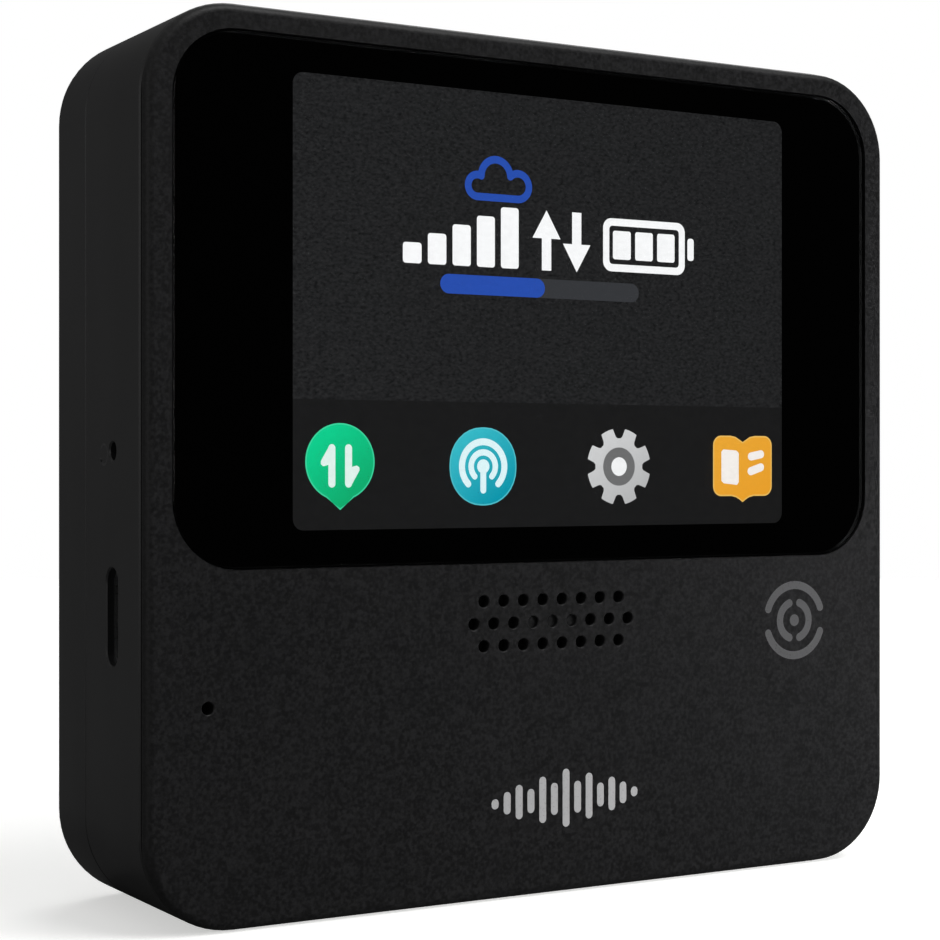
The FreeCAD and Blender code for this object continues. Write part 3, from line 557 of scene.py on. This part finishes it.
def bookIcon(look):
    x, z = look["book"], look["z"] + 0.1
    w, top, low, dip = 3.74, 3.02, -3.05, 0.66
    for name, grow, tone, front in (("icon_book_rim", 0.14, "bookRim", glyphFront + 0.001 * mm),
                                    ("icon_book", 0.0, "bookOrange", glyphFront)):
        r = 0.88 + grow
        right = [(0.0, top - dip + grow), (0.45, top - 0.40 + grow), (0.95, top - 0.12 + grow),
                 (1.6, top + grow)]
        right += arcPoints(w + grow - r, top + grow - r, r, 90, 0, 6)
        right += arcPoints(w + grow - r, low - grow + r, r, 0, -90, 6)
        right += [(1.45, low - grow), (0.85, low - 0.14 - grow), (0.40, low - 0.38 - grow),
                  (0.0, low - dip - grow)]
        left = [(-px, pz) for px, pz in reversed(right[1:-1])]
        screenPiece(name, [[(x + px, z + pz) for px, pz in right + left]], tone, front)
    raised = glyphFront - 0.002 * mm
    page = [(-2.55, 1.72), (-0.85, 1.60), (-0.52, 1.35), (-0.52, -1.75), (-0.75, -2.02), (-2.50, -1.84),
            (-2.80, -1.60), (-2.80, 1.48)]
    screenPiece("icon_book_page", [[(x + px, z + pz) for px, pz in page]], "bookWhite", raised)
    for i, (left, right) in enumerate((((1.12, 0.98), (2.42, 1.22)), ((1.08, -0.58), (2.42, -0.16)))):
        screenPiece("icon_book_line_%d" % i,
                    [barLoop(x + left[0], z + left[1], x + right[0], z + right[1], 0.86)],
                    "bookWhite", raised)


def statusGlyphs():
    # signal bars, traffic arrows and a battery in white; a cloud and a data gauge in blue
    z0 = 4.15
    for i in range(5):
        h = 2.0 + i * 1.0
        x = -16.2 + i * 2.75
        screenPiece("signal_bar_%d" % i, [roundedLoop(x, z0 + h / 2, 2.05, h, 0.3)], "screenWhite")
    for side, up, x, name in ((-1, 1, -0.9, "traffic_up"), (1, -1, 2.7, "traffic_down")):
        middle = z0 + 3.0
        tip, back, half = middle + up * 3.0, middle + up * 0.2, 1.65
        stem = 0.55
        tail = middle - up * 3.0
        arrow = [(x, tip), (x + half, back), (x + stem, back), (x + stem, tail), (x - stem, tail),
                 (x - stem, back), (x - half, back)]
        screenPiece(name, [arrow], "screenWhite")
    left, w, h = 5.9, 10.2, 5.4
    shell = roundedLoop(left + w / 2, z0 + 3.0, w, h, 1.0)
    inside = roundedLoop(left + w / 2, z0 + 3.0, w - 1.5, h - 1.5, 0.4)
    screenPiece("charge_outline", [shell, inside], "screenWhite")
    screenPiece("charge_tip", [roundedLoop(left + w + 0.75, z0 + 3.0, 0.8, 2.3, 0.3)], "screenWhite")
    for i in range(3):
        screenPiece("charge_bar_%d" % i, [roundedLoop(left + 2.3 + i * 2.75, z0 + 3.0, 2.2, 2.9, 0.25)],
                    "screenWhite")
    cloudX, cloudZ, stroke = -6.45, 10.75, 0.74
    strokes = [arcBand(cloudX + 2.2, cloudZ + 1.55, 1.27, stroke, -90, 134),
               arcBand(cloudX - 0.35, cloudZ + 2.35, 1.67, stroke, 4, 181),
               arcBand(cloudX - 2.45, cloudZ + 1.35, 1.07, stroke, 66, 270),
               barLoop(cloudX - 2.45, cloudZ + 0.28, cloudX + 2.2, cloudZ + 0.28, stroke)]
    for i, loop in enumerate(strokes):
        screenPiece("cloud_line_%d" % i, [loop], "screenBlue", glyphFront - 0.0005 * i * mm)
    screenPiece("gauge_track", [roundedLoop(-1.4, 2.35, 23.4, 1.9, 0.95)], "screenDim")
    screenPiece("gauge_fill", [roundedLoop(-7.1, 2.35, 12.0, 1.9, 0.95)], "screenBlue",
                glyphFront - 0.002 * mm)


pinIcon(icons)
discIcon(icons)
gearIcon(icons)
bookIcon(icons)
statusGlyphs()
print("display image made")


# printed marks on the front and the side
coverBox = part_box("front_cover")
printSkin = 0.012
printFront = coverBox[0].y - printSkin * mm / 2

target = {"x": 30.7, "z": 26.2, "outer": 3.75, "inner": 1.95, "stroke": 0.85}
wave = {"x": 1.6, "z": 9.5, "pitch": 1.38, "stroke": 0.82,
        "heights": (1.0, 2.2, 3.4, 2.4, 4.6, 3.2, 5.8, 3.2, 4.6, 2.4, 3.4, 2.2, 1.0)}


def frontPrint(name, loops, slot):
    return raisedPiece(name, loops, printFront, printSkin, finishes[slot])


def targetMark(look):
    x, z = look["x"], look["z"]
    for i, start in enumerate((20, 200)):
        frontPrint("target_outer_%d" % i, [arcBand(x, z, look["outer"], look["stroke"], start, start + 140)],
                   "grey_print")
    for i, start in enumerate((-70, 110)):
        frontPrint("target_inner_%d" % i, [arcBand(x, z, look["inner"], look["stroke"], start, start + 140)],
                   "grey_print")
    frontPrint("target_dot", [circleLoop(x, z, 0.62)], "grey_print")


def waveMark(look):
    count = len(look["heights"])
    for i, height in enumerate(look["heights"]):
        x = look["x"] + (i - (count - 1) / 2) * look["pitch"]
        half = (height - look["stroke"]) / 2
        frontPrint("wave_bar_%d" % i, [barLoop(x, look["z"] - half, x, look["z"] + half, look["stroke"])],
                   "silver_print")


resetArrow = {"behindFront": 9.9, "z": 43.7, "r": 0.95, "stroke": 0.24}


def resetMark(look):
    # a small turning arrow beside the pinhole, printed on the left wall
    y = look["behindFront"]
    tip = math.radians(330)
    tipX, tipZ = y + look["r"] * math.cos(tip), look["z"] + look["r"] * math.sin(tip)
    head = [(tipX - 0.42, tipZ + 0.10), (tipX + 0.40, tipZ + 0.22), (tipX + 0.02, tipZ - 0.50)]
    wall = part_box("middle_frame")[0].x - printSkin * mm / 2
    turn = Matrix.Translation((wall, coverBox[0].y, 0)) @ Matrix.Rotation(-math.pi / 2, 4, "Z")
    for name, loop in (("reset_arrow_ring", arcBand(y, look["z"], look["r"], look["stroke"], 40, 325)),
                       ("reset_arrow_head", head)):
        mirrored = [(-px, pz) for px, pz in reversed(loop)]
        piece = raisedPiece(name, [mirrored], 0, printSkin, finishes["dim_print"])
        piece.data.transform(turn)


targetMark(target)
waveMark(wave)
resetMark(resetArrow)
print("printed marks made")


stageLook = {"floorRadius": 0.62, "floorColour": (0.86, 0.86, 0.85), "floorGlow": 0.62, "floorSeen": 0.16}
roomLook = {"low": 0.05, "high": 0.42, "left": 0.19, "frontRight": 0.012}


def makeFloor(look):
    mesh = bpy.data.meshes.new("floor")
    shape = bmesh.new()
    bmesh.ops.create_circle(shape, cap_ends=True, segments=96, radius=look["floorRadius"])
    shape.to_mesh(mesh)
    shape.free()
    floor = bpy.data.objects.new("floor", mesh)
    bpy.context.scene.collection.objects.link(floor)
    floor.location = (0, 0, cadBox[0].z - 0.02 * mm)
    material, tree, shader = newMaterial("pale_floor")
    cloud = grainNoise(tree, objectPlace(tree), 120 * mm, 2.0)
    colour = blendColours(tree, cloud, look["floorColour"], shade(look["floorColour"], 0.985))
    tree.links.new(colour, shader.inputs["Base Color"])
    tree.links.new(colour, shader.inputs["Emission Color"])
    shader.inputs["Emission Strength"].default_value = look["floorGlow"]
    shader.inputs["Roughness"].default_value = 0.9
    shader.inputs["Specular IOR Level"].default_value = 0.1
    # the floor is pale to the eye, and throws little light up at the black plastic
    dim = addNode(tree, "ShaderNodeBsdfDiffuse", {"Color": rgb((look["floorSeen"],) * 3)})
    path = addNode(tree, "ShaderNodeLightPath")
    mix = addNode(tree, "ShaderNodeMixShader")
    tree.links.new(path.outputs["Is Camera Ray"], mix.inputs["Fac"])
    tree.links.new(dim.outputs["BSDF"], mix.inputs[1])
    tree.links.new(shader.outputs["BSDF"], mix.inputs[2])
    tree.links.new(mix.outputs["Shader"], tree.nodes["Material Output"].inputs["Surface"])
    mesh.materials.append(material)


def makeWorld(look):
    # white behind the object, a soft dim studio for what lights it
    world = bpy.data.worlds.new("studio")
    bpy.context.scene.world = world
    world.use_nodes = True
    tree = world.node_tree
    output = tree.nodes["World Output"]
    seen = tree.nodes["Background"]
    seen.inputs["Color"].default_value = (1, 1, 1, 1)
    seen.inputs["Strength"].default_value = 1.0
    room = addNode(tree, "ShaderNodeBackground", {"Strength": 1.0})
    path = addNode(tree, "ShaderNodeLightPath")
    mix = addNode(tree, "ShaderNodeMixShader")
    place = addNode(tree, "ShaderNodeTexCoord")

    def share(direction, low, high):
        along = addNode(tree, "ShaderNodeVectorMath", {1: direction}, operation="DOT_PRODUCT")
        tree.links.new(place.outputs["Generated"], along.inputs[0])
        ramp = addNode(tree, "ShaderNodeMapRange",
                       {"From Min": low, "From Max": high, "To Min": 0, "To Max": 1},
                       interpolation_type="SMOOTHSTEP")
        tree.links.new(along.outputs["Value"], ramp.inputs["Value"])
        return ramp.outputs["Result"]

    side = blendColours(tree, share((-1, 0, 0), -0.1, 0.9), (look["low"],) * 3, (look["left"],) * 3)
    dark = blendColours(tree, share((0.50, -0.866, 0), 0.55, 0.90), side, (look["frontRight"],) * 3)
    sky = blendColours(tree, share((0, 0, 1), 0.40, 0.95), dark, (look["high"],) * 3)
    tree.links.new(sky, room.inputs["Color"])
    tree.links.new(path.outputs["Is Camera Ray"], mix.inputs["Fac"])
    tree.links.new(room.outputs["Background"], mix.inputs[1])
    tree.links.new(seen.outputs["Background"], mix.inputs[2])
    tree.links.new(mix.outputs["Shader"], output.inputs["Surface"])


def areaLight(name, place, aim, size, power, mirrored):
    # a light that isn't mirrored lights the object but doesn't show in its glass
    data = bpy.data.lights.new(name, "AREA")
    data.shape = "RECTANGLE"
    data.size, data.size_y = size
    data.energy = power
    light = bpy.data.objects.new(name, data)
    bpy.context.scene.collection.objects.link(light)
    light.location = place
    light.visible_glossy = mirrored
    light.visible_transmission = mirrored
    light.rotation_euler = (Vector(aim) - Vector(place)).to_track_quat("-Z", "Y").to_euler()


softboxes = {
    "key_softbox": {"place": (0.22, -0.35, 0.72), "size": (0.42, 0.42), "power": 2.6},
    "left_softbox": {"place": (-0.45, -0.26, 0.12), "size": (0.30, 0.30), "power": 0.24},
    "low_card": {"place": (0.16, -0.13, 0.03), "size": (0.08, 0.04), "power": 0.54, "mirrored": False},
    "back_softbox": {"place": (0.38, 0.52, 0.52), "size": (0.45, 0.35), "power": 1.6},
}
camera = {"place": (-114.16 * mm, -189.36 * mm, 42.25 * mm), "turn": -30.50, "lens": 81.16}


def makeCamera(look):
    data = bpy.data.cameras.new("camera")
    data.lens = look["lens"]
    data.sensor_width = 36
    data.clip_start, data.clip_end = 0.005, 20
    holder = bpy.data.objects.new("camera", data)
    bpy.context.scene.collection.objects.link(holder)
    holder.location = look["place"]
    holder.rotation_euler = (math.pi / 2, 0, math.radians(look["turn"]))
    bpy.context.scene.camera = holder


makeFloor(stageLook)
makeWorld(roomLook)
middle = (cadBox[0] + cadBox[1]) / 2
for name, look in softboxes.items():
    areaLight(name, look["place"], middle, look["size"], look["power"], look.get("mirrored", True))
makeCamera(camera)
bpy.context.scene.view_settings.view_transform = "Standard"
print("stage, lights and camera made")
